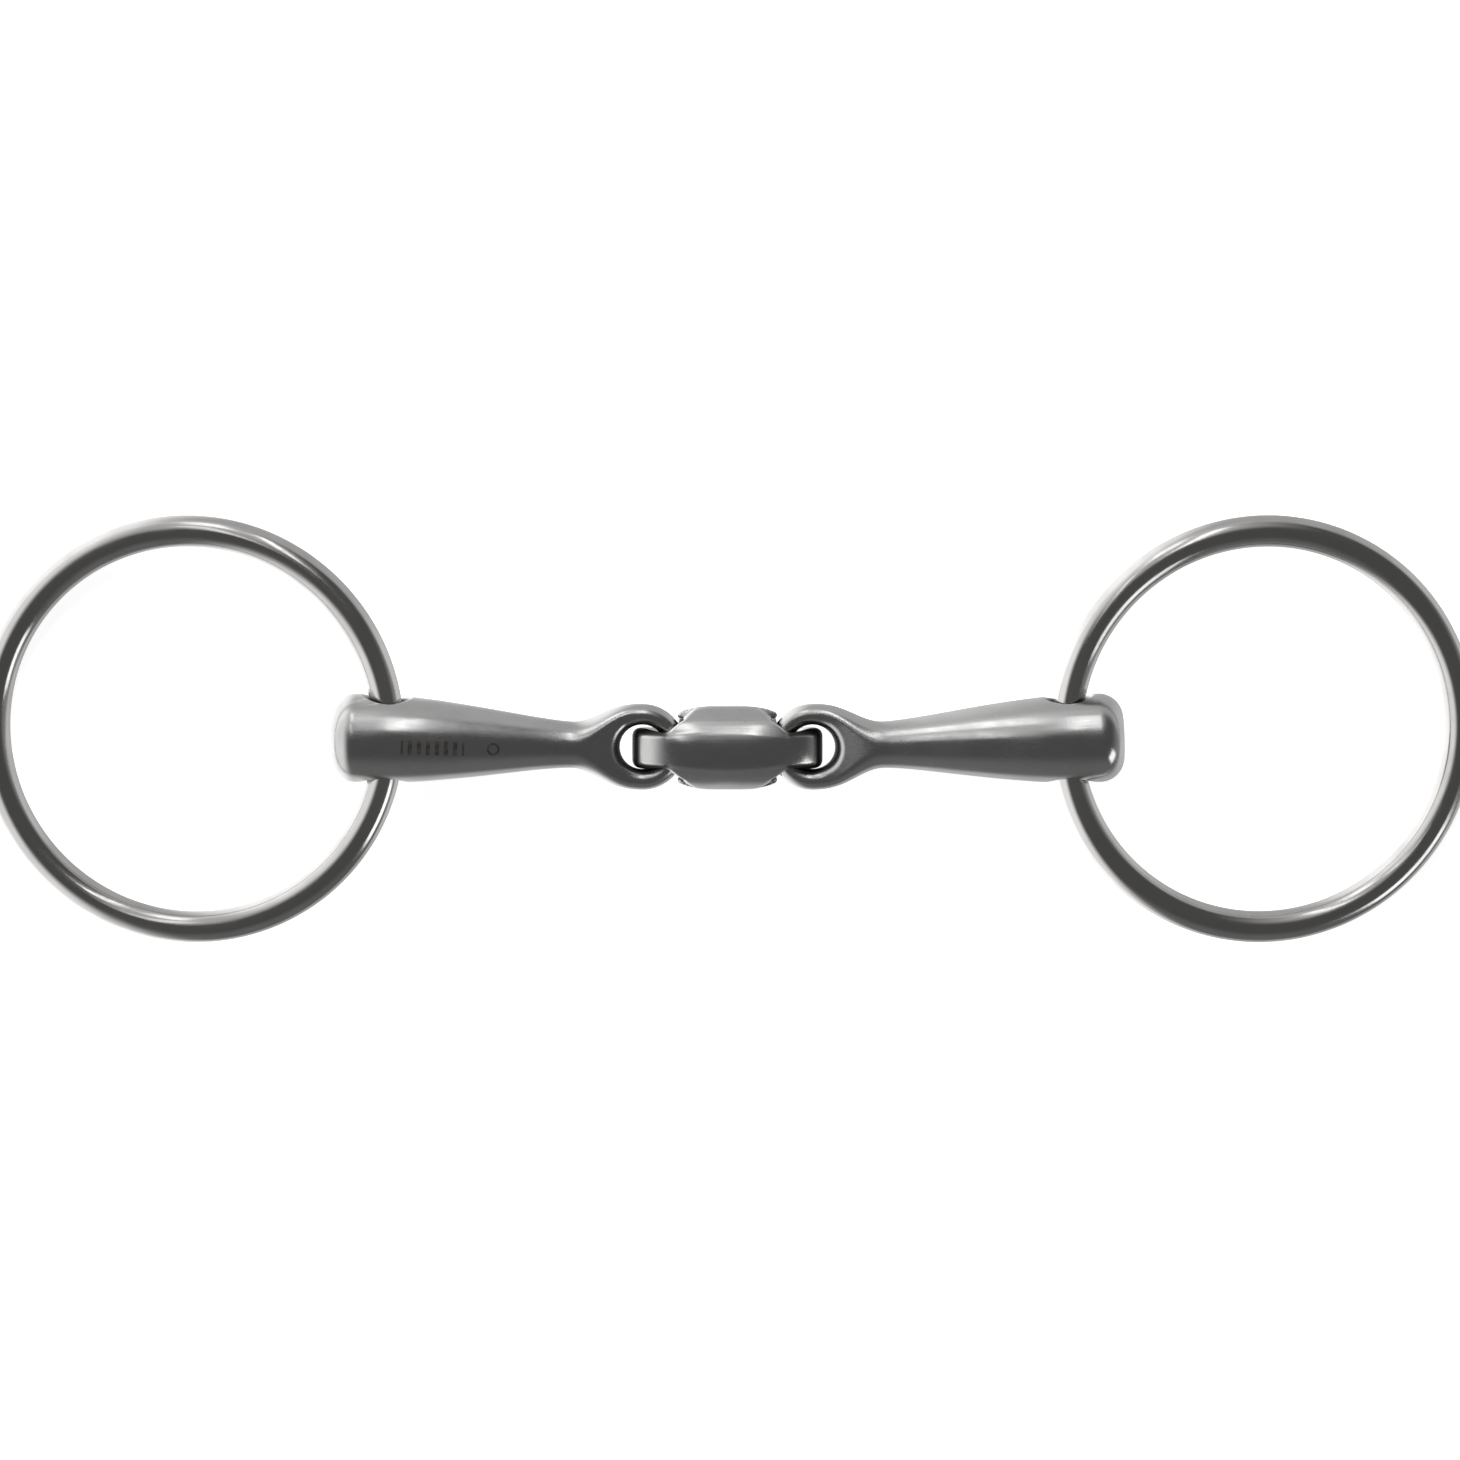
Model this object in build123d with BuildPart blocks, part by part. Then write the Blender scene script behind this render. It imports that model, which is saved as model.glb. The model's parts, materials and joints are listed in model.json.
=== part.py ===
"""Loose-ring snaffle bit with a double-jointed mouthpiece and a lozenge link.

Frame: +X runs along the mouthpiece towards the right ring, +Y towards the upper side of the rings, and +Z up. The bit
lies flat on the plane Z = 0, and the origin is on that plane under the middle of the line between the ring centres.
The left half mirrors the right half in the YZ plane. Lengths are in millimetres and angles in degrees.
"""

from build123d import *
import os
from math import asin, cos, degrees, radians, sin, sqrt

# Rings: round wire bent into a circle and welded shut
RING_INNER_DIAMETER = 70.0
WIRE_DIAMETER = 6.0

# Cannons, the two arms of the mouthpiece: places along an arm are measured from its fold pivot
MOUTH_HALF = 65.0  # middle of the bit to the axis of a ring hole
PIVOT_HALF = 10.0  # middle of the bit to a fold pivot
CANNON_LENGTH = 65.4
NECK_AT = 19.6
NECK_RADIUS = 4.45
BARREL_AT = 57.0  # where the taper reaches its full radius
BARREL_RADIUS = 8.4
NECK_PULL = 6.4  # how far the taper keeps the direction of each of its ends
BARREL_PULL = 13.0
END_ROUNDING = 4.6
RING_HOLE_RADIUS = 3.8
RING_HOLE_FLARE = 1.5  # extra radius of a ring hole where it meets the outside
FLARE_DEPTH = 2.6

# Eyes, the closed loops on the inner ends of the cannons
EYE_RADIUS = 6.25  # middle of the eye to the middle of its bar
EYE_BAR_HALF_WIDTH = 1.98
EYE_BAR_HALF_DEPTH = 2.6
SHOULDER = (  # distance from the pivot, half width, half depth
    (8.2, 7.95, 2.6),
    (10.4, 7.65, 2.85),
    (12.4, 6.9, 3.25),
    (14.3, 6.0, 3.7),
    (16.2, 5.1, 4.15),
    (18.0, 4.57, 4.4),
    (NECK_AT, NECK_RADIUS, NECK_RADIUS),
)
SQUARENESS = 0.03  # the straight part left between the rounded corners of a shoulder section

# Lozenge link, which joins the two eyes
LINK_SECTIONS = (  # distance from the middle, half width, half width of the broad face, half depth, half edge
    (0.0, 8.0, 4.7, 6.25, 1.6),
    (5.0, 7.75, 4.4, 6.2, 1.8),
    (10.0, 6.9, 3.5, 5.85, 2.2),
    (13.6, 5.2, 3.0, 5.0, 2.1),
    (16.4, 3.9, 2.7, 3.6, 1.7),
    (18.0, 2.8, 2.2, 1.9, 1.0),
)
LINK_LENGTH = 2 * LINK_SECTIONS[-1][0]
LINK_SLOT_RADIUS = 3.35
LINK_SLOT_RUN = 0.35  # how much longer than round the slot is, towards the nose
NOSE_HALF_WIDTH = 2.85  # where a nose meets the body
NOSE_FROM = 9.7  # middle of the link to where its body stops and its noses go on
NOSE_CORNER = 1.2
NOSE_CLEARANCE = 0.3  # from a nose to the eye that it fills

# How the bit lies: the arms rise towards the ring holes, and the rings lean out until they touch the surface
SAG_ANGLE = 2.1  # each arm's turn about Z, which leaves the link a little below the line of the ring centres

ring_radius = (RING_INNER_DIAMETER + WIRE_DIAMETER) / 2
wire_radius = WIRE_DIAMETER / 2
hole_at = MOUTH_HALF - PIVOT_HALF
link_depth = LINK_SECTIONS[0][3]
# The wire bows inside its straight hole, so the ring stands half of that bow nearer to the hole
wire_bow = ring_radius - sqrt(ring_radius**2 - BARREL_RADIUS**2)
ring_centre_at = ring_radius - wire_bow / 2  # from the axis of the ring hole
rise_angle = degrees(asin((BARREL_RADIUS - link_depth) / hole_at))
lean_angle = degrees(asin((BARREL_RADIUS - wire_radius) / (ring_centre_at + ring_radius)))
ring_reach = hole_at * cos(radians(rise_angle)) + ring_centre_at * cos(radians(lean_angle))
sag_drop = ring_reach * sin(radians(SAG_ANGLE))


def tilted_plane(origin, angle):
    """A plane turned about Z by the sag angle, whose X then rises by the given angle."""
    turn = radians(SAG_ANGLE)
    rise = radians(angle)
    return Plane(
        origin=origin,
        x_dir=(cos(turn) * cos(rise), sin(turn) * cos(rise), sin(rise)),
        z_dir=(-cos(turn) * sin(rise), -sin(turn) * sin(rise), cos(rise)),
    )


def along(plane, distance):
    """The same plane, moved along its own X."""
    return Plane(origin=plane.origin + plane.x_dir * distance, x_dir=plane.x_dir, z_dir=plane.z_dir)


def side_view(plane):
    """The plane's X and Z as a sketch plane."""
    return Plane(origin=plane.origin, x_dir=plane.x_dir, z_dir=plane.y_dir * -1)


def end_view(plane):
    """The plane's Y and Z as a sketch plane."""
    return Plane(origin=plane.origin, x_dir=plane.y_dir, z_dir=plane.x_dir)


link_plane = Plane.XY.offset(link_depth).move(Location((0, -sag_drop, 0)))
arm_plane = tilted_plane(Vector(PIVOT_HALF, -sag_drop, link_depth), rise_angle)
hole_plane = along(arm_plane, hole_at)
eye_plane = along(arm_plane, EYE_RADIUS)
ring_plane = along(tilted_plane(hole_plane.origin, -lean_angle), ring_centre_at)

with BuildPart() as right_cannon:
    # Round tapered body, from the neck to the rounded outer end
    with BuildSketch(side_view(arm_plane)):
        with BuildLine():
            taper = Bezier(
                (NECK_AT, NECK_RADIUS),
                (NECK_AT + NECK_PULL, NECK_RADIUS),
                (BARREL_AT - BARREL_PULL, BARREL_RADIUS),
                (BARREL_AT, BARREL_RADIUS),
            )
            level = Line(taper @ 1, (CANNON_LENGTH - END_ROUNDING, BARREL_RADIUS))
            corner = TangentArc(level @ 1, (CANNON_LENGTH, BARREL_RADIUS - END_ROUNDING), tangent=(1, 0))
            Polyline(corner @ 1, (CANNON_LENGTH, 0), (NECK_AT, 0), taper @ 0)
        make_face()
    revolve(axis=Axis(arm_plane.origin, arm_plane.x_dir))
    # Shoulder, which flattens and widens from the neck to the eye
    for distance, half_width, half_depth in SHOULDER:
        with BuildSketch(end_view(along(arm_plane, distance))):
            RectangleRounded(2 * half_width, 2 * half_depth, half_depth - SQUARENESS)
    loft()
    # Eye: a hole through the shoulder, with a bar all round it
    with BuildSketch(eye_plane.offset(-BARREL_RADIUS)):
        Circle(EYE_RADIUS)
    extrude(amount=2 * BARREL_RADIUS, mode=Mode.SUBTRACT)
    with BuildSketch(side_view(eye_plane)):
        with Locations((EYE_RADIUS, 0)):
            Ellipse(EYE_BAR_HALF_WIDTH, EYE_BAR_HALF_DEPTH)
    revolve(axis=Axis(eye_plane.origin, eye_plane.z_dir))
    # Hole for the ring, along the arm's Y, with flared mouths
    mouth = BARREL_RADIUS + 0.5
    with BuildSketch(hole_plane):
        with BuildLine():
            flare = TangentArc(
                (RING_HOLE_RADIUS, BARREL_RADIUS - FLARE_DEPTH),
                (RING_HOLE_RADIUS + RING_HOLE_FLARE, mouth),
                tangent=(0, 1),
            )
            Polyline(flare @ 1, (0, mouth), (0, 0), (RING_HOLE_RADIUS, 0), flare @ 0)
        make_face()
        mirror(about=Plane.XZ)
    revolve(axis=Axis(hole_plane.origin, hole_plane.y_dir), mode=Mode.SUBTRACT)

with BuildPart() as right_ring:
    with BuildSketch(side_view(ring_plane)):
        with Locations((ring_radius, 0)):
            Circle(wire_radius)
    revolve(axis=Axis(ring_plane.origin, ring_plane.z_dir))

with BuildPart() as nose_room:
    # The space inside an eye, swept as the eye swings about its pivot, for the eye at each end
    for pivot_at in (PIVOT_HALF, -PIVOT_HALF):
        with Locations(along(link_plane, pivot_at)):
            Torus(EYE_RADIUS, EYE_RADIUS - EYE_BAR_HALF_WIDTH - NOSE_CLEARANCE, rotation=(90, 0, 0))

with BuildPart() as nose_cutter:
    # All that lies beside the noses, apart from the space inside the eyes
    with BuildSketch(link_plane.offset(-2 * link_depth)):
        for sign in (1, -1):
            with Locations((NOSE_FROM + LINK_LENGTH, sign * (NOSE_HALF_WIDTH + LINK_LENGTH))):
                RectangleRounded(2 * LINK_LENGTH, 2 * LINK_LENGTH, NOSE_CORNER)
        mirror(about=Plane.YZ)
    extrude(amount=4 * link_depth)
    add(nose_room, mode=Mode.SUBTRACT)

with BuildPart() as centre_lozenge:
    # Eight-sided body, tapering to a nose at each end
    outer_half = [(-distance, *sizes) for distance, *sizes in LINK_SECTIONS[:0:-1]]
    for distance, half_width, half_face, half_depth, half_edge in (*outer_half, *LINK_SECTIONS):
        with BuildSketch(end_view(along(link_plane, distance))):
            with BuildLine():
                side = Polyline((0, half_depth), (half_face, half_depth), (half_width, half_edge), (half_width, 0))
                mirror(side, about=Plane.XZ)
                mirror(about=Plane.YZ)
            make_face()
    loft()
    # The noses nearly fill the space inside the eyes
    add(nose_cutter, mode=Mode.SUBTRACT)
    # A slot at each end holds the eye's bar
    with BuildSketch(side_view(link_plane)):
        for pivot_at in (PIVOT_HALF, -PIVOT_HALF - LINK_SLOT_RUN):
            with Locations((pivot_at + LINK_SLOT_RUN / 2, 0)):
                SlotCenterToCenter(LINK_SLOT_RUN, 2 * LINK_SLOT_RADIUS)
    extrude(amount=LINK_LENGTH, both=True, mode=Mode.SUBTRACT)

with BuildPart() as left_cannon:
    mirror(right_cannon.part, about=Plane.YZ)

with BuildPart() as left_ring:
    mirror(right_ring.part, about=Plane.YZ)

pieces = {
    "left_ring": left_ring,
    "left_cannon": left_cannon,
    "centre_lozenge": centre_lozenge,
    "right_cannon": right_cannon,
    "right_ring": right_ring,
}

os.makedirs("parts", exist_ok=True)
for name, piece in pieces.items():
    piece.part.label = name
    export_step(piece.part, f"parts/{name}.step")
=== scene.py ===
"""Looks of a loose-ring snaffle bit in polished stainless steel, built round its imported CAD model.

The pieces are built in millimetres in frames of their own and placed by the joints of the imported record.
An arm's frame starts at its fold pivot, with X towards the ring hole and Y along the hole. The link's frame
starts at its centre.
"""

import json
from math import cos, pi, radians, sin

import bpy
import numpy as np
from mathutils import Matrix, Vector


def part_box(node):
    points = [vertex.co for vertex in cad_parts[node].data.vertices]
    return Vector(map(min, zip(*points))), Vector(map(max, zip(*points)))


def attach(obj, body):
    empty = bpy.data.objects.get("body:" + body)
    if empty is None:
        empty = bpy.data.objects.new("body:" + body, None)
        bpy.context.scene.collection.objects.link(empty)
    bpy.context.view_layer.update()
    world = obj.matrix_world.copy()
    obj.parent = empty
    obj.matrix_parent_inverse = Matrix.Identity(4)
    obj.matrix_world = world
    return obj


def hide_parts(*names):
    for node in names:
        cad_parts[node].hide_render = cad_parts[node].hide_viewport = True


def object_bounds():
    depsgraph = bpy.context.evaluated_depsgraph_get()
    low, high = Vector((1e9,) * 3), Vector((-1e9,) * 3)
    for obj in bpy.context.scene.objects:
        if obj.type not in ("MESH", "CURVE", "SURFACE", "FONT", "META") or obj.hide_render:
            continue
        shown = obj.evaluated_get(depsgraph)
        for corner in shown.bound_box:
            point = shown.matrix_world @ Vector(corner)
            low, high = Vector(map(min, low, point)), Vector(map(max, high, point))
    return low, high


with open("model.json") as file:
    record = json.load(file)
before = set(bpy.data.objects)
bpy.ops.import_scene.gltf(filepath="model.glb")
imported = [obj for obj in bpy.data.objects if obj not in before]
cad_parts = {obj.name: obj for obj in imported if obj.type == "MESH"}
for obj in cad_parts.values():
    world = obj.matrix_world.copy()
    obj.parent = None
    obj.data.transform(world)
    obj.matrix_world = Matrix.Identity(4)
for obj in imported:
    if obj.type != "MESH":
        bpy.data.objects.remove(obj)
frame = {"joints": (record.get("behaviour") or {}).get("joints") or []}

import openvdb
from mathutils import Matrix, Vector

cad_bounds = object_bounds()
MM = 0.001
GRID_STEP = 0.25  # mm between the points at which a shape is sampled
SURFACE_PASSES = 4
SLOPE_STEP = 0.01
LEAST_SLOPE = 0.05

# Rings
WIRE_RADIUS = 3.0
WIRE_WAVE = 0.012
RING_STEPS = 720
WIRE_STEPS = 64
RUBBED_FROM = 0.85  # part of the ring's radius, towards the arm, from which the wire is worn

# Arms
NECK_AT = 19.6
NECK_RADIUS = 4.45
BARREL_AT = 57.0
BARREL_RADIUS = 8.4
NECK_PULL = 6.4
BARREL_PULL = 13.0
CURVE_PASSES = 6
ARM_LENGTH = 65.4
END_ROUNDING = 4.6
HOLE_AT = 55.0
HOLE_RADIUS = 3.8
HOLE_FLARE = 1.5
FLARE_FROM = 5.8
FLARE_TO = BARREL_RADIUS + 0.5
HOLE_EDGE = 0.35
EYE_AT = 6.25
EYE_BAR_HALF_WIDTH = 1.98
EYE_BAR_HALF_DEPTH = 2.6
SHOULDER_FROM = 8.0
SHOULDER_FULLNESS = 1.25
ARM_WAVE = 0.02

# Link: widths and depths are half of the whole
LINK_HALF = 18.15
LINK_DEPTH = 6.25
LINK_SQUARENESS = 3.2  # the power of the curve that its fronts follow along its length
LINK_WIDTH = 8.15
WIDTH_LOSS = 0.0018  # for each cubic millimetre from the middle
LEAST_WIDTH = 5.0  # where there are only noses, which are narrower
LINK_FACE = 4.45
FACE_LOSS = 0.0088  # for each square millimetre from the middle
TIP_FACE = 2.75
FACE_CROWN = 20.0
EDGE_DEPTH = 0.1
EDGE_GAIN = 0.02
RIDGE_ROUNDING = 0.6
SIDE_ROUNDING = 0.45
BEVEL_CROWN = 0.35
BEVEL_UNTIL = 11.0
BEVEL_FADE = 5.0
BEVEL_OUT = 3.0  # how far the bevel has moved out where it has faded
BACK_CORNER_AT = 9.5
SLANT_FROM = (6.7, 7.5)
SLANT = 1.16
END_EDGE = 0.5
NOSE_CORNER = 0.7
NOSE_FRONT_WIDTH = 2.75
NOSE_FLANK = 0.5
NOSE_ROUNDING = 0.4
TIP_FROM = 16.6
EYE_CLEARANCE = 0.32
PIVOT_AT = 10.0
SLOT_RADIUS = 3.35
SLOT_RUN = 0.35
SLOT_EDGE = 0.5
SLOT_FLARE = 0.25
SLOT_FLARE_FROM = 2.6
SLOT_END = 5.7

# Finish
RING_SEED = 10
ARM_SEED = 20
WAVES = 14
WAVE_PITCHES = (5, 16)
# Where the polish stops and the shade in the openings is painted dark: how far from an opening's wall, and
# over what width it fades
EYE_DULL_AND_SHADE = (0.9, 0.75)
HOLE_DULL_AND_SHADE = (0.78, 0.6)
SLOT_DULL_AND_SHADE = (0.35, 0.35)
NOSE_DULL_AND_SHADE = (0.35, 0.25)
WORN_BEND = 0.7  # 1/mm, how sharp an edge is where it begins to be worn
SCRATCH_LENGTH = 5.0
SCRATCH_WIDTH = 0.25
PATCH = 7.0
PIT_SPACING = 1 / 0.45
BUMP_STRENGTH = 0.06
BUMP_HEIGHT = 0.02
RING_COLOUR = (0.56, 0.55, 0.54)
RING_ROUGHNESS = 0.15
STEEL_COLOUR = (0.55, 0.55, 0.545)
STEEL_ROUGHNESS = 0.19
PIT_COLOUR = (0.2, 0.19, 0.18)
# Near black: painted shade for the insides of holes, eyes and slots and round the link's noses
RECESS_SHADE_COLOUR = (0.035, 0.032, 0.03)
ETCHED_COLOUR = (0.21, 0.15, 0.12)

# Etched marks on the left arm
BAR_PITCH = 1.7
BARS_AT = 45.9
BARS_HALF = 5.95
BAR_HALF_HEIGHT = 1.35
MARKS_ACROSS = -0.6
SMALL_RING_AT = 34.5
SMALL_RING_RADIUS = 1.0

# Studio, in metres
FLOOR_HALF = 3.0
FLOOR_GLOW = 0.8
TENT_TOP = 0.1
# Each wall: the direction it lies in, where it begins and is full along that direction, and its brightness
TENT_WALLS = (
    ((0.0, 0.38, -1.0), -0.1, 0.25, 0.5),
    ((0.0, -1.0, 0.0), 0.6, 1.0, 0.09),
    ((-0.2, 0.77, 0.6), 0.77, 1.0, 0.5),
    ((-1.0, 0.0, -0.3), 0.15, 0.65, 1.1),
    ((1.0, 0.0, -0.3), 0.6, 1.0, 0.2),
)
# Each softbox: where it is, what it faces, its width and height, and its power in watts
SOFTBOXES = {
    "softbox_left": ((-0.21, 0.8, 0.43), (-0.11, 0, 0), (0.2, 0.35), 0.32),
    "softbox_left_top": ((-0.26, 0.45, 0.78), (-0.12, 0, 0), (0.1, 0.45), 0.16),
    "softbox_right": ((0.06, 0.67, 0.6), (0.03, 0, 0), (0.07, 0.58), 0.36),
    "softbox_low": ((1.1, -0.8, 0.5), (0, 0, 0), (0.6, 0.6), 2),
}
CAMERA_DISTANCE = 0.8
CAMERA_TILT = radians(7)
CAMERA_TARGET = Vector((0.0005, 0.0, 0.006))
SENSOR_WIDTH = 36  # mm
VIEW_WIDTH = 0.2773
VIEW_RISE = 0.003  # above the target, where the view is as wide as that


# ---- Shapes as distance fields: negative inside, in millimetres ----

def round_both(a, b, radius):
    """The space in both shapes, with a rounded edge where they meet."""
    outside = np.hypot(np.maximum(a + radius, 0), np.maximum(b + radius, 0))
    return np.minimum(np.maximum(a, b), -radius) + outside


def round_either(a, b, radius):
    """The space in either shape, with a fillet where they meet."""
    return -round_both(-a, -b, radius)


def taper_radius(x):
    """The arm's radius along its length, a cubic curve that is level at the neck and at the barrel."""
    x1, x2 = NECK_AT + NECK_PULL, BARREL_AT - BARREL_PULL
    t = np.clip((x - NECK_AT) / (BARREL_AT - NECK_AT), 0, 1)
    for _ in range(CURVE_PASSES):
        s = 1 - t
        along = s**3 * NECK_AT + 3 * s**2 * t * x1 + 3 * s * t**2 * x2 + t**3 * BARREL_AT
        slope = 3 * s**2 * (x1 - NECK_AT) + 6 * s * t * (x2 - x1) + 3 * t**2 * (BARREL_AT - x2)
        t = np.clip(t - (along - x) / slope, 0, 1)
    return NECK_RADIUS + (BARREL_RADIUS - NECK_RADIUS) * t**2 * (3 - 2 * t)


def shoulder_width(x, eye_radius):
    """Half the width of the shoulder's outline, from the middle of the eye to the neck."""
    part = np.clip((x - EYE_AT) / (NECK_AT - EYE_AT), 0, 1) ** SHOULDER_FULLNESS
    return NECK_RADIUS + (eye_radius - NECK_RADIUS) * (1 + np.cos(pi * part)) / 2


def smooth_step(part):
    """From 0 up to part 0 to 1 from part 1, with no corner between."""
    part = np.clip(part, 0, 1)
    return part**2 * (3 - 2 * part)


def near(distance, reach, fade):
    """From 1 close by to 0 beyond some reach, with a smooth fade inside it."""
    return smooth_step((reach - distance) / fade)


def arm_field(x, y, z):
    """One arm of the mouthpiece."""
    across = np.hypot(y, z)
    barrel = round_both(across - taper_radius(x), x - ARM_LENGTH, END_ROUNDING)
    # Eye and shoulder: a plate with full round edges, which thickens into the round neck
    from_eye = np.hypot(x - EYE_AT, y)
    eye_radius = EYE_AT + EYE_BAR_HALF_WIDTH
    outline = np.where(x < EYE_AT, from_eye - eye_radius, np.abs(y) - shoulder_width(x, eye_radius))
    ease = smooth_step((x - SHOULDER_FROM) / (NECK_AT - SHOULDER_FROM))
    edge = EYE_BAR_HALF_WIDTH + (NECK_RADIUS - EYE_BAR_HALF_WIDTH) * ease
    depth = EYE_BAR_HALF_DEPTH + (NECK_RADIUS - EYE_BAR_HALF_DEPTH) * ease
    to_outline = np.maximum(1 + outline / edge, 0)
    to_hole = np.maximum(1 - (from_eye - EYE_AT + EYE_BAR_HALF_WIDTH) / EYE_BAR_HALF_WIDTH, 0)
    plate = (np.sqrt((z / depth) ** 2 + to_outline**2 + to_hole**2) - 1) * edge
    body = np.where(x < NECK_AT, plate, barrel)
    # Ring hole, flared where it opens
    flare = HOLE_FLARE * (np.maximum(np.abs(y) - FLARE_FROM, 0) / (FLARE_TO - FLARE_FROM)) ** 2
    hole = np.hypot(x - HOLE_AT, z) - HOLE_RADIUS - flare
    return round_both(body, -hole, HOLE_EDGE)


def link_field(x, y, z):
    """The lozenge link."""
    x, y, lift = np.abs(x), np.abs(y), z
    z = np.abs(z)
    width = np.maximum(LINK_WIDTH - WIDTH_LOSS * x**3, LEAST_WIDTH)
    face = np.maximum(LINK_FACE - FACE_LOSS * x**2, TIP_FACE)
    edge = EDGE_DEPTH + EDGE_GAIN * x**2
    # Front and back faces, crowned across
    crowned = z + y**2 / FACE_CROWN
    front = (np.sqrt((x / LINK_HALF) ** LINK_SQUARENESS + (crowned / LINK_DEPTH) ** 2) - 1) * LINK_DEPTH
    # Bevels from the faces down to the sides, slightly full, which fade before the tips
    depth = link_depth(x)
    run = width - face
    drop = np.maximum(depth - face**2 / FACE_CROWN - edge, 0.2)
    length = np.hypot(run, drop)
    part = np.clip(((y - face) * run - (z - edge - drop) * drop) / length**2, 0, 1)
    bevel = ((y - face) * drop + (z - edge - drop) * run) / length - BEVEL_CROWN * 4 * part * (1 - part)
    bevel -= BEVEL_OUT * smooth_step((x - BEVEL_UNTIL) / BEVEL_FADE)
    body = round_both(round_both(front, bevel, RIDGE_ROUNDING), y - width, SIDE_ROUNDING)
    # The noses at the ends swing inside the eyes and narrow towards their fronts
    nose = round_both(in_eye(x, y, z), nose_flank(y, z, depth), NOSE_ROUNDING)
    # Beside the slots the back ends square and the front ends on the slant
    slant = ((x - SLANT_FROM[0]) + (y - SLANT_FROM[1]) * SLANT) / np.hypot(1, SLANT)
    square = round_either(x - BACK_CORNER_AT, nose, NOSE_CORNER)
    slanted = round_either(slant, nose, NOSE_CORNER)
    body = round_both(body, np.where(lift > 0, slanted, square), END_EDGE)
    # Slots for the eyes' bars, a little wider away from the middle and closed at the link's sides
    slot = np.maximum(slot_field(x, z) - SLOT_FLARE * smooth_step(y - SLOT_FLARE_FROM), y - SLOT_END)
    return round_both(body, -slot, SLOT_EDGE)


def in_eye(x, y, z):
    """The space that an eye leaves for the link's nose as it swings, for x towards that end."""
    from_pivot = np.hypot(x - PIVOT_AT, z)
    return np.hypot(from_pivot - EYE_AT, y) - (EYE_AT - EYE_BAR_HALF_WIDTH) + EYE_CLEARANCE


def nose_flank(y, z, depth):
    """The sides of a nose, which slope out from its narrow front, where it is this deep."""
    return (y - NOSE_FRONT_WIDTH - NOSE_FLANK * (depth - z)) / np.hypot(1, NOSE_FLANK)


def link_depth(x):
    """Half the link's depth at some distance from its middle."""
    return LINK_DEPTH * np.sqrt(np.clip(1 - (x / LINK_HALF) ** LINK_SQUARENESS, 0.02, 1))


def slot_field(x, z):
    """A slot through the link, round and slightly longer towards the tip."""
    past = np.clip(x - PIVOT_AT, 0, SLOT_RUN)
    return np.hypot(x - PIVOT_AT - past, z) - SLOT_RADIUS


def arm_dull_and_shade(x, y, z):
    """From 0 on an arm's polished outside to 1 in its eye and its ring hole, which a wheel can't reach and
    where shade is painted dark.
    """
    from_eye = np.hypot(x - EYE_AT, y) - (EYE_AT - EYE_BAR_HALF_WIDTH)
    from_hole = np.hypot(x - HOLE_AT, z) - HOLE_RADIUS
    return np.maximum(near(from_eye, *EYE_DULL_AND_SHADE), near(from_hole, *HOLE_DULL_AND_SHADE))


def link_dull_and_shade(x, y, z):
    """From 0 on the link's polished outside to 1 in its slots and round its noses, which are left rougher and
    have their shade painted dark.
    """
    x, y, z = np.abs(x), np.abs(y), np.abs(z)
    in_slot = near(np.maximum(slot_field(x, z), y - SLOT_END), *SLOT_DULL_AND_SHADE)
    past_pivot = smooth_step((x - PIVOT_AT - 0.5) / 1.5)
    beside_nose = near(-nose_flank(y, z, link_depth(x)), *NOSE_DULL_AND_SHADE) * past_pivot
    tip = smooth_step((x - TIP_FROM) / 0.5)
    return np.maximum(np.maximum(in_slot, beside_nose), tip)


def hand_finish(x, y, z, seed):
    """The slight waviness that hand polishing leaves, in millimetres."""
    draw = np.random.default_rng(seed)
    wave = np.zeros_like(x)
    for _ in range(WAVES):
        pitch = draw.uniform(*WAVE_PITCHES)
        direction = draw.normal(size=3)
        direction *= 2 * pi / pitch / np.linalg.norm(direction)
        wave += np.sin(direction[0] * x + direction[1] * y + direction[2] * z + draw.uniform(0, 2 * pi))
    return wave / WAVES


# ---- Meshes ----

def field_mesh(field, low, high):
    """The surface of a field inside a box, as points in millimetres and quads."""
    axes = [np.arange(a - 1, b + 1, GRID_STEP) for a, b in zip(low, high)]
    values = field(*np.meshgrid(*axes, indexing="ij"))
    grid = openvdb.FloatGrid(2 * GRID_STEP)
    grid.copyFromArray(values.astype(np.float32))
    points, quads = grid.convertToQuads()
    points = points.astype(float) * GRID_STEP + np.array([axis[0] for axis in axes])
    # Put the points exactly on the surface
    for _ in range(SURFACE_PASSES):
        value = field(*points.T)
        slope = np.empty_like(points)
        for k in range(3):
            step = np.zeros(3)
            step[k] = SLOPE_STEP
            slope[:, k] = (field(*(points + step).T) - field(*(points - step).T)) / (2 * SLOPE_STEP)
        size = np.maximum((slope**2).sum(1), LEAST_SLOPE)
        move = np.clip(value / size, -GRID_STEP / 2, GRID_STEP / 2)
        points -= slope * move[:, None]
    return points, quads


def signed_volume(points, quads):
    """A number that is below zero where the quads face inwards, and grows with the volume that they hold."""
    a, b, c, d = (points[quads[:, k]] for k in range(4))
    return (np.einsum("ij,ij->i", a, np.cross(b, c)) + np.einsum("ij,ij->i", a, np.cross(c, d))).sum() / 6


def edge_bend(field, points, step=0.3):
    """How sharply a field's surface bends outwards at some points, in 1/mm."""
    bend = -6 * field(*points.T)
    for k in range(3):
        side = np.zeros(3)
        side[k] = step
        bend += field(*(points + side).T) + field(*(points - side).T)
    return bend / step**2


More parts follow.
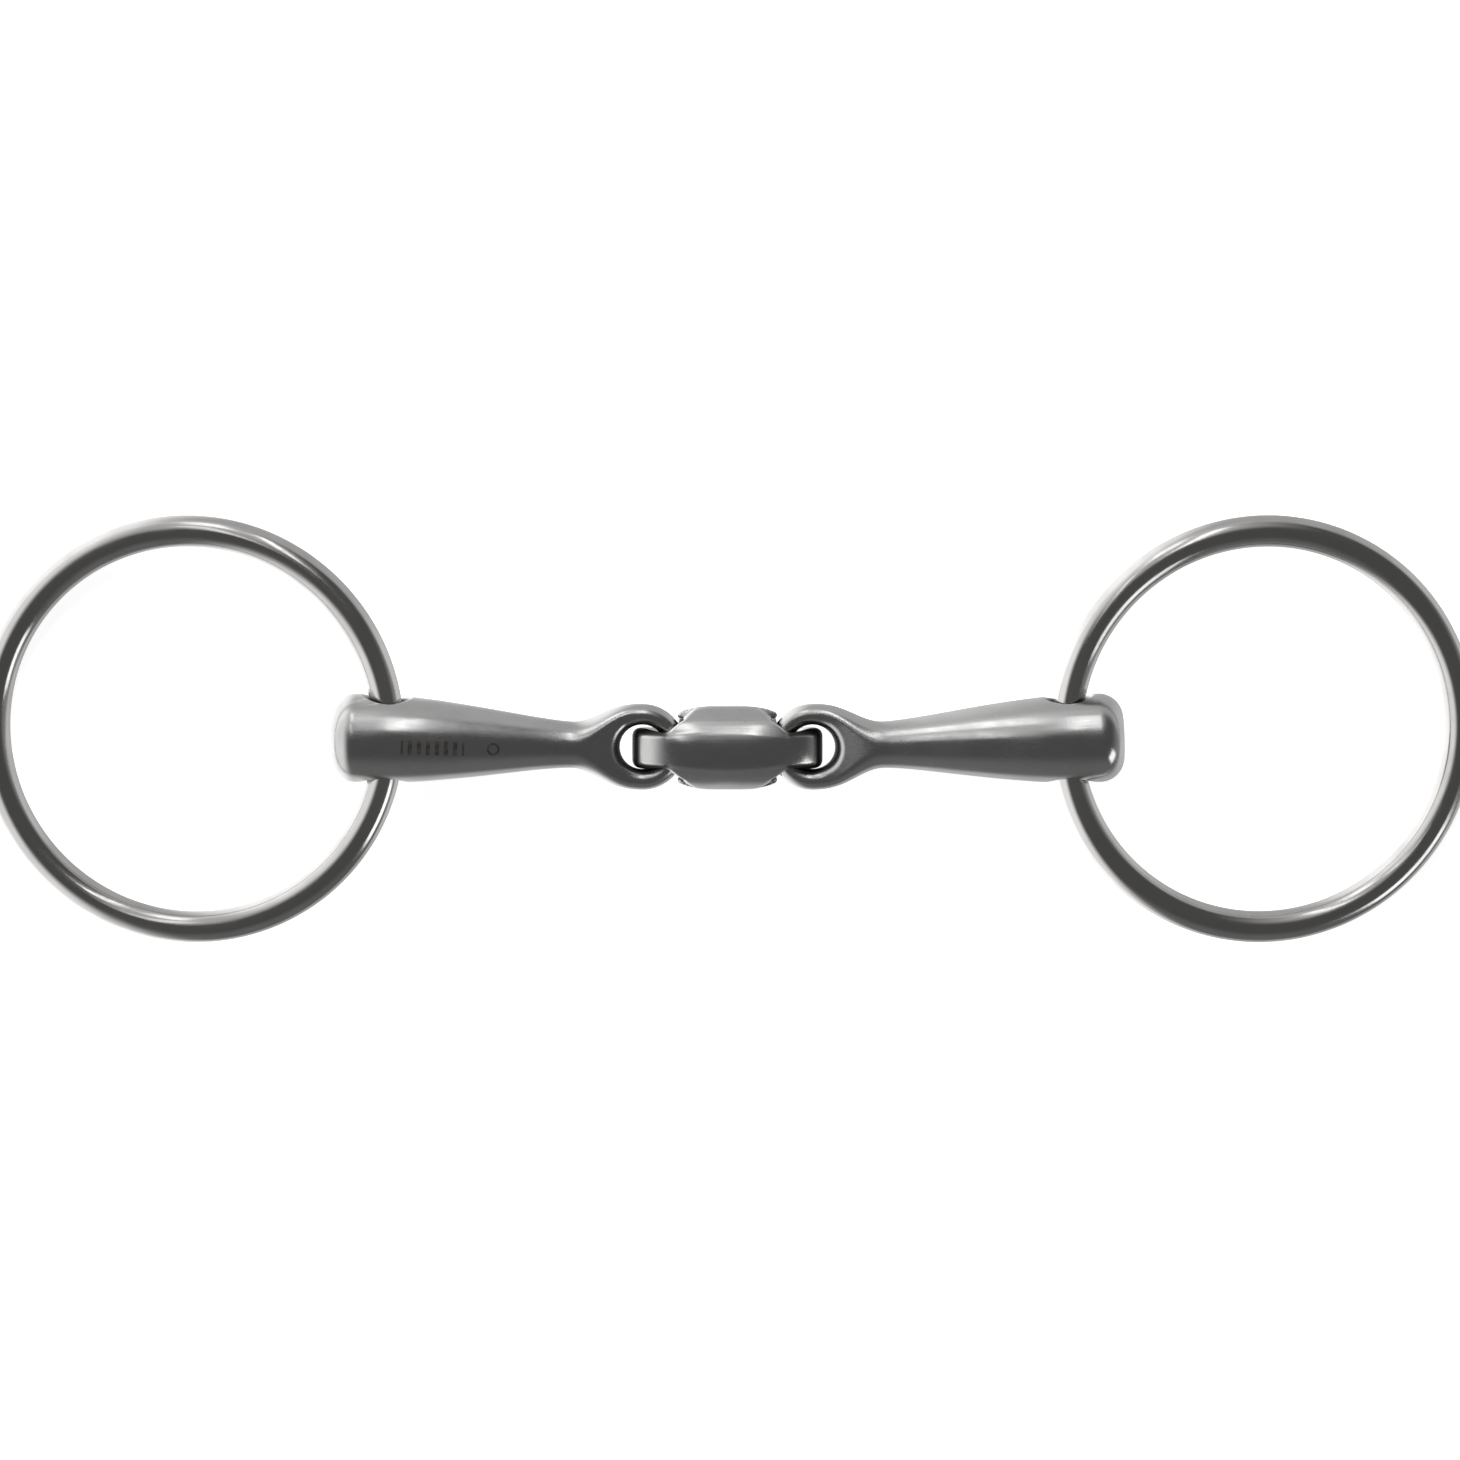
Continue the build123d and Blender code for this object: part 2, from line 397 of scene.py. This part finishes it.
def make_piece(name, points, quads, placing, inside, worn, material):
    """A smooth-shaded mesh object, from millimetres in its own frame to metres in the row's.

    Its material reads where a point is in the piece's own frame, how far inside a hole it is, which sets the
    shade painted there, and how worn it is.
    """
    own = points
    place = np.array(placing)
    points = (points @ place[:3, :3].T + place[:3, 3]) * MM
    if signed_volume(points, quads) < 0:
        quads = quads[:, ::-1]
    mesh = bpy.data.meshes.new(name)
    mesh.from_pydata(points.tolist(), [], quads.tolist())
    mesh.attributes.new("own_place", "FLOAT_VECTOR", "POINT").data.foreach_set("vector", own.ravel())
    mesh.attributes.new("inside", "FLOAT", "POINT").data.foreach_set("value", inside)
    mesh.attributes.new("worn", "FLOAT", "POINT").data.foreach_set("value", worn)
    mesh.shade_smooth()
    mesh.materials.append(material)
    piece = bpy.data.objects.new(name, mesh)
    bpy.context.scene.collection.objects.link(piece)
    return piece


# ---- Places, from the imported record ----

joints = {joint["name"]: joint for joint in frame["joints"]}


def placed(origin, along, side):
    """A frame in millimetres with X along a direction, Y along this side's ring hole and Z up."""
    across = Vector(joints[f"{side}_ring_swivel"]["axis"])
    if across.y < 0:
        across.negate()
    up = along.cross(across)
    if up.z < 0:
        up.negate()
    return Matrix.Translation(origin / MM) @ Matrix((along, across, up)).transposed().to_4x4()


def arm_place(side):
    """An arm's frame, from its fold pivot towards its ring hole."""
    pivot = Vector(joints[f"{side}_cannon_fold"]["pos_m"])
    hole = Vector(joints[f"{side}_ring_swivel"]["pos_m"])
    return placed(pivot, (hole - pivot).normalized(), side)


def ring_place(side):
    """A ring's frame, from its centre away from the mouthpiece."""
    low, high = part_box(f"{side}_ring")
    centre = (low + high) / 2
    hole = Vector(joints[f"{side}_ring_swivel"]["pos_m"])
    return placed(centre, (centre - hole).normalized(), side)


def ring_mesh(radius, seed):
    """Round wire bent into a circle, in millimetres, with X at angle zero."""
    turn = np.linspace(0, 2 * pi, RING_STEPS, endpoint=False)[:, None]
    round_wire = np.linspace(0, 2 * pi, WIRE_STEPS, endpoint=False)[None, :]
    wire = WIRE_RADIUS + WIRE_WAVE * hand_finish(radius * np.cos(turn), radius * np.sin(turn), 0 * turn, seed)
    out = radius + wire * np.cos(round_wire)
    points = np.stack([out * np.cos(turn), out * np.sin(turn), wire * np.sin(round_wire) + 0 * turn], axis=2)
    index = np.arange(RING_STEPS * WIRE_STEPS).reshape(RING_STEPS, WIRE_STEPS)
    next_turn = np.roll(index, -1, axis=0)
    corners = [index, next_turn, np.roll(next_turn, -1, axis=1), np.roll(index, -1, axis=1)]
    return points.reshape(-1, 3), np.stack([c.ravel() for c in corners], axis=1)


# ---- Materials ----

class Nodes:
    """Short ways to add and join shader nodes in one material."""

    def __init__(self, name):
        self.material = bpy.data.materials.new(name)
        self.material.use_nodes = True
        self.tree = self.material.node_tree
        self.shader = self.tree.nodes["Principled BSDF"]

    def add(self, kind, output, **inputs):
        """Add a node, fill or join its inputs by name, and give the node and one of its outputs."""
        node = self.tree.nodes.new(kind)
        self.fill(node, inputs)
        return node, node.outputs[output]

    def fill(self, node, inputs):
        """Give each named input a number or join it to another node's output."""
        for label, value in inputs.items():
            socket = node.inputs[label]
            if isinstance(value, bpy.types.NodeSocket):
                self.tree.links.new(value, socket)
            else:
                socket.default_value = value

    def math(self, operation, first, second=0.0):
        node, value = self.add("ShaderNodeMath", "Value")
        node.operation = operation
        for socket, number in zip(node.inputs, (first, second)):
            if isinstance(number, bpy.types.NodeSocket):
                self.tree.links.new(number, socket)
            else:
                socket.default_value = number
        return value

    def attribute(self, name, output):
        node, value = self.add("ShaderNodeAttribute", output)
        node.attribute_name = name
        return value

    def stretched(self, place, scale):
        """Coordinates for a pattern, in repeats per millimetre along each of a piece's own axes."""
        node, value = self.add("ShaderNodeVectorMath", "Vector")
        node.operation = "MULTIPLY"
        self.tree.links.new(place, node.inputs[0])
        node.inputs[1].default_value = scale
        return value

    def noise(self, place, scale, detail=2.0):
        return self.add("ShaderNodeTexNoise", "Fac", Vector=self.stretched(place, scale), Scale=1.0,
                        Detail=detail)[1]

    def ramp(self, value, low, high, start=0.0, end=1.0):
        """A value mapped smoothly from low..high to start..end, and held at those outside."""
        node, mapped = self.add("ShaderNodeMapRange", "Result")
        node.interpolation_type = "SMOOTHSTEP"
        self.fill(node, {"Value": value, "From Min": low, "From Max": high, "To Min": start, "To Max": end})
        return mapped

    def mix(self, part, first, second):
        node, colour = self.add("ShaderNodeMix", 2)
        node.data_type = "RGBA"
        self.tree.links.new(part, node.inputs[0])
        for socket, value in ((node.inputs[6], first), (node.inputs[7], second)):
            if isinstance(value, bpy.types.NodeSocket):
                self.tree.links.new(value, socket)
            else:
                socket.default_value = (*value, 1)
        return node.outputs[2]


def steel(name, base, roughness, along, marks=None):
    """Stainless steel polished on a wheel.

    It has fine scratches along one of the piece's own axes, cloudy patches, tiny pits, brighter worn edges,
    and holes left rougher, with the shade in them painted near black. marks adds an etched pattern.
    """
    nodes = Nodes(name)
    place = nodes.attribute("own_place", "Vector")
    inside = nodes.attribute("inside", "Fac")
    worn = nodes.attribute("worn", "Fac")
    stretch = [1 / SCRATCH_LENGTH if axis == along else 1 / SCRATCH_WIDTH for axis in "xyz"]
    scratches = nodes.noise(place, stretch, 3.0)
    hairlines = nodes.noise(place, [4 * value for value in stretch], 2.0)
    patches = nodes.noise(place, (1 / PATCH,) * 3, 3.0)
    spots = nodes.add("ShaderNodeTexVoronoi", "Distance", Scale=1.0,
                      Vector=nodes.stretched(place, (1 / PIT_SPACING,) * 3))[1]
    pits = nodes.math("MULTIPLY", nodes.ramp(spots, 0.05, 0.1, 1.0, 0.0), nodes.ramp(patches, 0.5, 0.6))

    cloudy = nodes.mix(nodes.ramp(patches, 0.3, 0.75), base, [value * 0.9 for value in base])
    bright = nodes.mix(nodes.math("MULTIPLY", worn, 0.5), cloudy, [min(value * 1.25, 0.8) for value in base])
    pitted = nodes.mix(nodes.math("MULTIPLY", pits, 0.45), bright, PIT_COLOUR)
    # Painted shade: the insides of holes, eyes and slots and the link's noses are turned near black
    colour = nodes.mix(nodes.math("MULTIPLY", inside, 0.93), pitted, RECESS_SHADE_COLOUR)
    if marks:
        colour = nodes.mix(marks(nodes, place), colour, ETCHED_COLOUR)

    rough = nodes.math("ADD", nodes.ramp(patches, 0.3, 0.7, roughness - 0.03, roughness + 0.05),
                       nodes.ramp(scratches, 0.35, 0.7, 0.0, 0.05))
    rough = nodes.math("ADD", rough, nodes.math("MULTIPLY", inside, 0.25))
    rough = nodes.math("SUBTRACT", rough, nodes.math("MULTIPLY", worn, 0.04))
    height = nodes.math("ADD", scratches, nodes.math("MULTIPLY", hairlines, 0.2))
    height = nodes.math("SUBTRACT", height, nodes.math("MULTIPLY", pits, 3.0))
    normal = nodes.add("ShaderNodeBump", "Normal", Height=height, Strength=BUMP_STRENGTH,
                       Distance=BUMP_HEIGHT * MM)[1]
    nodes.fill(nodes.shader, {"Base Color": colour, "Roughness": rough, "Normal": normal, "Metallic": 1.0})
    return nodes.material


def etched_marks(nodes, place):
    """Where a maker etches the arm: a plain row of bars, and a small ring apart from it."""
    split = nodes.add("ShaderNodeSeparateXYZ", "X", Vector=place)[0]
    along, across, up = (split.outputs[axis] for axis in "XYZ")
    front = nodes.ramp(up, 1.0, 1.5)
    # Bars
    repeat = nodes.math("FRACT", nodes.math("DIVIDE", along, BAR_PITCH))
    off_middle = nodes.math("ABSOLUTE", nodes.math("SUBTRACT", repeat, 0.5))
    bar = nodes.ramp(off_middle, 0.2, 0.26, 1.0, 0.0)
    off_row = nodes.math("ABSOLUTE", nodes.math("SUBTRACT", along, BARS_AT))
    row = nodes.ramp(off_row, BARS_HALF - 0.05, BARS_HALF + 0.05, 1.0, 0.0)
    off_line = nodes.math("ABSOLUTE", nodes.math("SUBTRACT", across, MARKS_ACROSS))
    tall = nodes.ramp(off_line, BAR_HALF_HEIGHT - 0.08, BAR_HALF_HEIGHT + 0.08, 1.0, 0.0)
    bars = nodes.math("MULTIPLY", nodes.math("MULTIPLY", bar, row), tall)
    # Small ring
    sideways = nodes.math("SUBTRACT", along, SMALL_RING_AT)
    far = nodes.math("SQRT", nodes.math("ADD", nodes.math("MULTIPLY", sideways, sideways),
                                        nodes.math("MULTIPLY", off_line, off_line)))
    off_ring = nodes.math("ABSOLUTE", nodes.math("SUBTRACT", far, SMALL_RING_RADIUS))
    ring = nodes.ramp(off_ring, 0.16, 0.26, 1.0, 0.0)
    faint = nodes.ramp(nodes.noise(place, (0.9,) * 3, 3.0), 0.3, 0.65, 0.25, 0.8)
    return nodes.math("MULTIPLY", nodes.math("MULTIPLY", nodes.math("MAXIMUM", bars, ring), front), faint)


ring_steel = steel("ring_steel", RING_COLOUR, RING_ROUGHNESS, "z")
arm_steel = steel("mouthpiece_steel", STEEL_COLOUR, STEEL_ROUGHNESS, "x")
marked_steel = steel("marked_steel", STEEL_COLOUR, STEEL_ROUGHNESS, "x", etched_marks)
link_steel = steel("link_steel", STEEL_COLOUR, STEEL_ROUGHNESS, "x")

# ---- Pieces ----

ring_low, ring_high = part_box("right_ring")
ring_radius = (ring_high.y - ring_low.y) / MM / 2 - WIRE_RADIUS
for number, (side, steel_here) in enumerate((("left", marked_steel), ("right", arm_steel))):
    points, quads = ring_mesh(ring_radius, RING_SEED + number)
    rubbed = smooth_step((-points[:, 0] / ring_radius - RUBBED_FROM) / (1 - RUBBED_FROM))
    ring = make_piece(f"{side}_ring_wire", points, quads, ring_place(side), 0 * rubbed, rubbed, ring_steel)
    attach(ring, f"{side}_cheek_ring")
    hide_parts(f"{side}_ring")

    def finished_arm(x, y, z, seed=ARM_SEED + number):
        return arm_field(x, y, z) + ARM_WAVE * hand_finish(x, y, z, seed)

    points, quads = field_mesh(finished_arm, (-3, -9, -9), (ARM_LENGTH, 9, 9))
    edges = smooth_step(edge_bend(arm_field, points) - WORN_BEND)
    # Where the arm's eye and ring hole are left rough and have their shade painted dark
    inside = arm_dull_and_shade(*points.T)
    arm = make_piece(f"{side}_arm_steel", points, quads, arm_place(side), inside, edges, steel_here)
    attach(arm, f"{side}_arm")
    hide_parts(f"{side}_cannon")

link_low, link_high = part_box("centre_lozenge")
link_place = Matrix.Translation((link_low + link_high) / 2 / MM)
points, quads = field_mesh(link_field, (-LINK_HALF, -8, -7), (LINK_HALF, 8, 7))
edges = smooth_step(edge_bend(link_field, points) - WORN_BEND)
# The link's slots and noses are left rough and have their shade painted dark
link = make_piece("lozenge_steel", points, quads, link_place, link_dull_and_shade(*points.T), edges, link_steel)
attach(link, "centre_link")
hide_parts("centre_lozenge")

# ---- Floor, light and camera ----

def area_light(name, place, target, size, power):
    """A rectangular softbox that faces a point."""
    light = bpy.data.lights.new(name, "AREA")
    light.shape = "RECTANGLE"
    light.size, light.size_y = size
    light.energy = power
    lamp = bpy.data.objects.new(name, light)
    lamp.location = place
    lamp.rotation_euler = (Vector(target) - Vector(place)).to_track_quat("-Z", "Y").to_euler()
    bpy.context.scene.collection.objects.link(lamp)
    return lamp


def pale_floor():
    """A white surface, lit from below like a light table, which the steel doesn't mirror."""
    mesh = bpy.data.meshes.new("floor")
    corners = [(x * FLOOR_HALF, y * FLOOR_HALF, 0) for x, y in ((-1, -1), (1, -1), (1, 1), (-1, 1))]
    mesh.from_pydata(corners, [], [(0, 1, 2, 3)])
    floor = bpy.data.objects.new("floor", mesh)
    floor.location.z = cad_bounds[0][2]
    floor.visible_glossy = False
    bpy.context.scene.collection.objects.link(floor)
    material = bpy.data.materials.new("pale_floor")
    material.use_nodes = True
    shader = material.node_tree.nodes["Principled BSDF"]
    shader.inputs["Base Color"].default_value = (0.8, 0.8, 0.8, 1)
    shader.inputs["Roughness"].default_value = 1.0
    shader.inputs["Specular IOR Level"].default_value = 0.0
    shader.inputs["Emission Color"].default_value = (1, 1, 1, 1)
    shader.inputs["Emission Strength"].default_value = FLOOR_GLOW
    floor.data.materials.append(material)


def tent_world():
    """The inside of a studio tent: dark overhead, where the camera is, with paler walls of cloth."""
    world = bpy.data.worlds.new("tent")
    world.use_nodes = True
    nodes, links = world.node_tree.nodes, world.node_tree.links
    background = nodes["Background"]
    background.inputs["Color"].default_value = (1, 1, 1, 1)
    place = nodes.new("ShaderNodeTexCoord")
    total = None
    for direction, low, high, strength in TENT_WALLS:
        facing = nodes.new("ShaderNodeVectorMath")
        facing.operation = "DOT_PRODUCT"
        facing.inputs[1].default_value = direction
        links.new(place.outputs["Generated"], facing.inputs[0])
        wall = nodes.new("ShaderNodeMapRange")
        wall.interpolation_type = "SMOOTHSTEP"
        for label, value in (("From Min", low), ("From Max", high), ("To Max", strength)):
            wall.inputs[label].default_value = value
        links.new(facing.outputs["Value"], wall.inputs["Value"])
        add = nodes.new("ShaderNodeMath")
        add.inputs[1].default_value = TENT_TOP
        if total is not None:
            links.new(total, add.inputs[1])
        links.new(wall.outputs["Result"], add.inputs[0])
        total = add.outputs["Value"]
    links.new(total, background.inputs["Strength"])
    bpy.context.scene.world = world


pale_floor()
tent_world()
for name, (place, facing, size, power) in SOFTBOXES.items():
    area_light(name, place, facing, size, power)
key = area_light("key", (-0.3, 1.3, 1.0), (0, 0, 0), (0.9, 0.9), 25)
key.visible_glossy = False

camera_data = bpy.data.cameras.new("camera")
camera_data.sensor_width = SENSOR_WIDTH
camera_data.lens = SENSOR_WIDTH * (CAMERA_DISTANCE - VIEW_RISE) / VIEW_WIDTH
camera = bpy.data.objects.new("camera", camera_data)
camera.location = CAMERA_TARGET + CAMERA_DISTANCE * Vector((0, sin(CAMERA_TILT), cos(CAMERA_TILT)))
camera.rotation_euler = (-CAMERA_TILT, 0, 0)
bpy.context.scene.collection.objects.link(camera)
bpy.context.scene.camera = camera
bpy.context.scene.view_settings.view_transform = "Standard"
